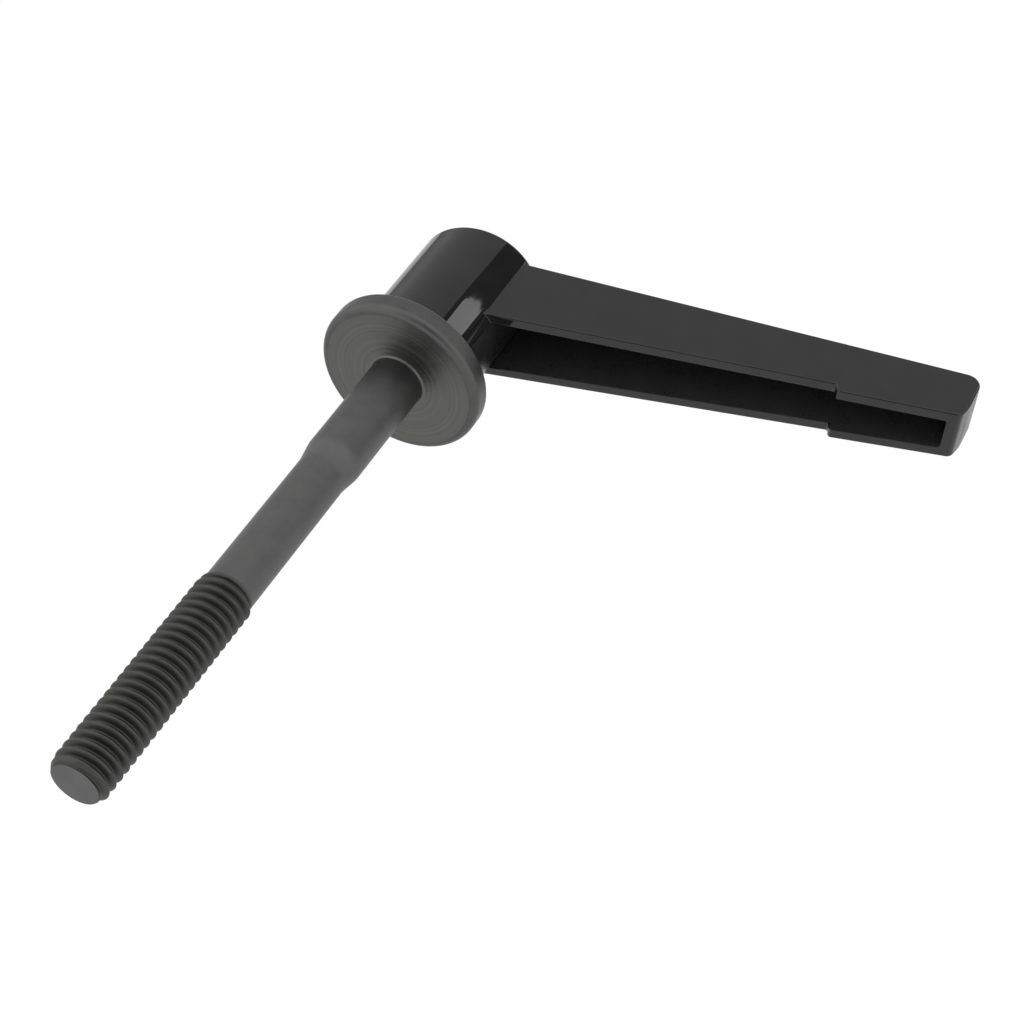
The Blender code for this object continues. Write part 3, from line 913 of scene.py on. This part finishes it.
def build_spring():
    bm = bmesh.new()
    bottom = SPRING_BOTTOM_Y + WIRE_R
    height = SPRING_TOP_Y - WIRE_R - bottom
    active_pitch = (height - 2 * END_TURNS * END_TURN_PITCH) / ACTIVE_TURNS
    turns = ACTIVE_TURNS + 2 * END_TURNS
    steps = round(turns * SPRING_STEPS)
    sections = []
    for i in range(steps + 1):
        turn = turns * i / steps
        angle = -2 * math.pi * turn
        y = bottom + spring_height(turn, active_pitch)
        section = []
        for k in range(WIRE_SIDES):
            around = 2 * math.pi * k / WIRE_SIDES
            radius = COIL_R + WIRE_R * math.cos(around)
            section.append(bm.verts.new((radius * math.cos(angle), y + WIRE_R * math.sin(around),
                                         radius * math.sin(angle))))
        sections.append(section)
    loft(bm, sections)
    steel = plain_steel("spring_steel", 0.45, roughness=0.24, ring_scale=8000.0)
    spring = finish_piece("coil_spring", bm, [steel], "spring", sharp_angle=50)
    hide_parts("return_spring")
    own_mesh(spring)


# Studio

def camera_axes():
    """Directions to the right and up as the camera sees them."""
    across = Vector((0, 0, 1)).cross(CAMERA_BACK).normalized()
    up = CAMERA_BACK.cross(across)
    roll = math.radians(CAMERA_ROLL)
    return (across * math.cos(roll) + up * math.sin(roll),
            up * math.cos(roll) - across * math.sin(roll))


def build_camera():
    across, up = camera_axes()
    data = bpy.data.cameras.new("camera")
    data.lens, data.sensor_width, data.sensor_fit = CAMERA_LENS, CAMERA_SENSOR, "HORIZONTAL"
    data.clip_start, data.clip_end = CAMERA_CLIP
    data.shift_x, data.shift_y = CAMERA_SHIFT
    camera = linked("camera", data)
    matrix = Matrix((across, up, CAMERA_BACK)).transposed().to_4x4()
    matrix.translation = CAMERA_PLACE
    camera.matrix_world = matrix
    bpy.context.scene.camera = camera


def stage_tree(obj):
    """The empty node tree of a new material on the object."""
    material = new_material(obj.name)
    material.node_tree.nodes.clear()
    obj.data.materials.append(material)
    return material.node_tree


def show(tree, shader, kind="ShaderNodeOutputMaterial"):
    """Links a shader node to a new output."""
    tree.links.new(shader.outputs[0], node(tree, kind).inputs[0])


def seen_directly(tree):
    """1 for camera, glossy and transmission rays, which see the plain white of the studio."""
    path = node(tree, "ShaderNodeLightPath")
    seen = math_node(tree, "ADD", path.outputs["Is Camera Ray"], path.outputs["Is Glossy Ray"])
    return math_node(tree, "ADD", seen, path.outputs["Is Transmission Ray"], clamp=True)


def build_floor():
    bm = bmesh.new()
    corners = ((-1, -1), (1, -1), (1, 1), (-1, 1))
    bm.faces.new([bm.verts.new((x * FLOOR_REACH, y * FLOOR_REACH, FLOOR_Z)) for x, y in corners])
    floor = mesh_object("floor", bm)
    tree = stage_tree(floor)
    diffuse = node(tree, "ShaderNodeBsdfDiffuse", [("Color", tinted(FLOOR_TONE, 1, 1, 1))])
    reflected = node(tree, "ShaderNodeLightPath").outputs["Is Glossy Ray"]
    strength = map_range(tree, reflected, 0.0, 1.0, *FLOOR_GLOW)
    glow = node(tree, "ShaderNodeEmission", [("Strength", strength)])
    share = math_node(tree, "MULTIPLY", seen_directly(tree), FLOOR_GLOW_SHARE)
    show(tree, node(tree, "ShaderNodeMixShader",
                    [(0, share), (1, diffuse.outputs[0]), (2, glow.outputs[0])]))


def build_card(name, facing, distance, glow, corners):
    """A card that only shows in reflections. Its glow runs from one value to the other across it."""
    bm = bmesh.new()
    facing = Vector(facing)
    across = Vector((0, 1, 0)).cross(facing).normalized()
    up = facing.cross(across)
    centre = HUB_MIDDLE + facing * distance
    bm.faces.new([bm.verts.new(centre + (across * u + up * v) * MM) for u, v in corners])
    card = mesh_object(name, bm)
    tree = stage_tree(card)
    edges = [centre.dot(across) + limit(corner[0] for corner in corners) * MM for limit in (min, max)]
    strength = map_range(tree, dot_with(tree, object_coordinates(tree), across), *edges, *glow)
    show(tree, node(tree, "ShaderNodeEmission", [("Strength", strength)]))
    card.visible_camera = card.visible_diffuse = card.visible_shadow = False


def build_world():
    """Even white light from all round, weaker and uneven where glossy surfaces reflect it, and
    plain white behind the object."""
    world = bpy.data.worlds.new("studio")
    bpy.context.scene.world = world
    world.use_nodes = True
    tree = world.node_tree
    tree.nodes.clear()
    across, up = camera_axes()
    direction = node(tree, "ShaderNodeTexCoord").outputs["Generated"]
    facing = dot_with(tree, direction, up * LAMP_UP - across * LAMP_LEFT + CAMERA_BACK * LAMP_BACK)
    lamps = map_range(tree, facing, *LAMP_FACING, *LAMP_STRENGTH)
    height = dot_with(tree, direction, (0.0, 1.0, 0.0))
    off_band = math_node(tree, "ABSOLUTE", math_node(tree, "SUBTRACT", height, BAND_HEIGHT))
    reflected = math_node(tree, "ADD", map_range(tree, facing, *LAMP_FACING, *REFLECTED_STRENGTH),
                          map_range(tree, off_band, *BAND_EDGE, 0.0, BESIDE_BAND))
    dark = map_range(tree, dot_with(tree, direction, DARK_PLACE), *DARK_EDGE, 0.0, 1.0)
    reflected = mix_value(tree, dark, reflected, DARK_STRENGTH)
    path = node(tree, "ShaderNodeLightPath")
    strength = mix_value(tree, path.outputs["Is Glossy Ray"], lamps, reflected)
    strength = mix_value(tree, path.outputs["Is Camera Ray"], strength, 1.0)
    white = node(tree, "ShaderNodeBackground", [("Color", (1, 1, 1, 1)), ("Strength", strength)])
    show(tree, white, "ShaderNodeOutputWorld")


def build():
    build_camera()
    build_floor()
    for card in CARDS:
        build_card(**card)
    build_world()
    bpy.context.scene.view_settings.view_transform = "Standard"
    build_stud()
    build_lever()
    build_screw()
    build_spring()


build()
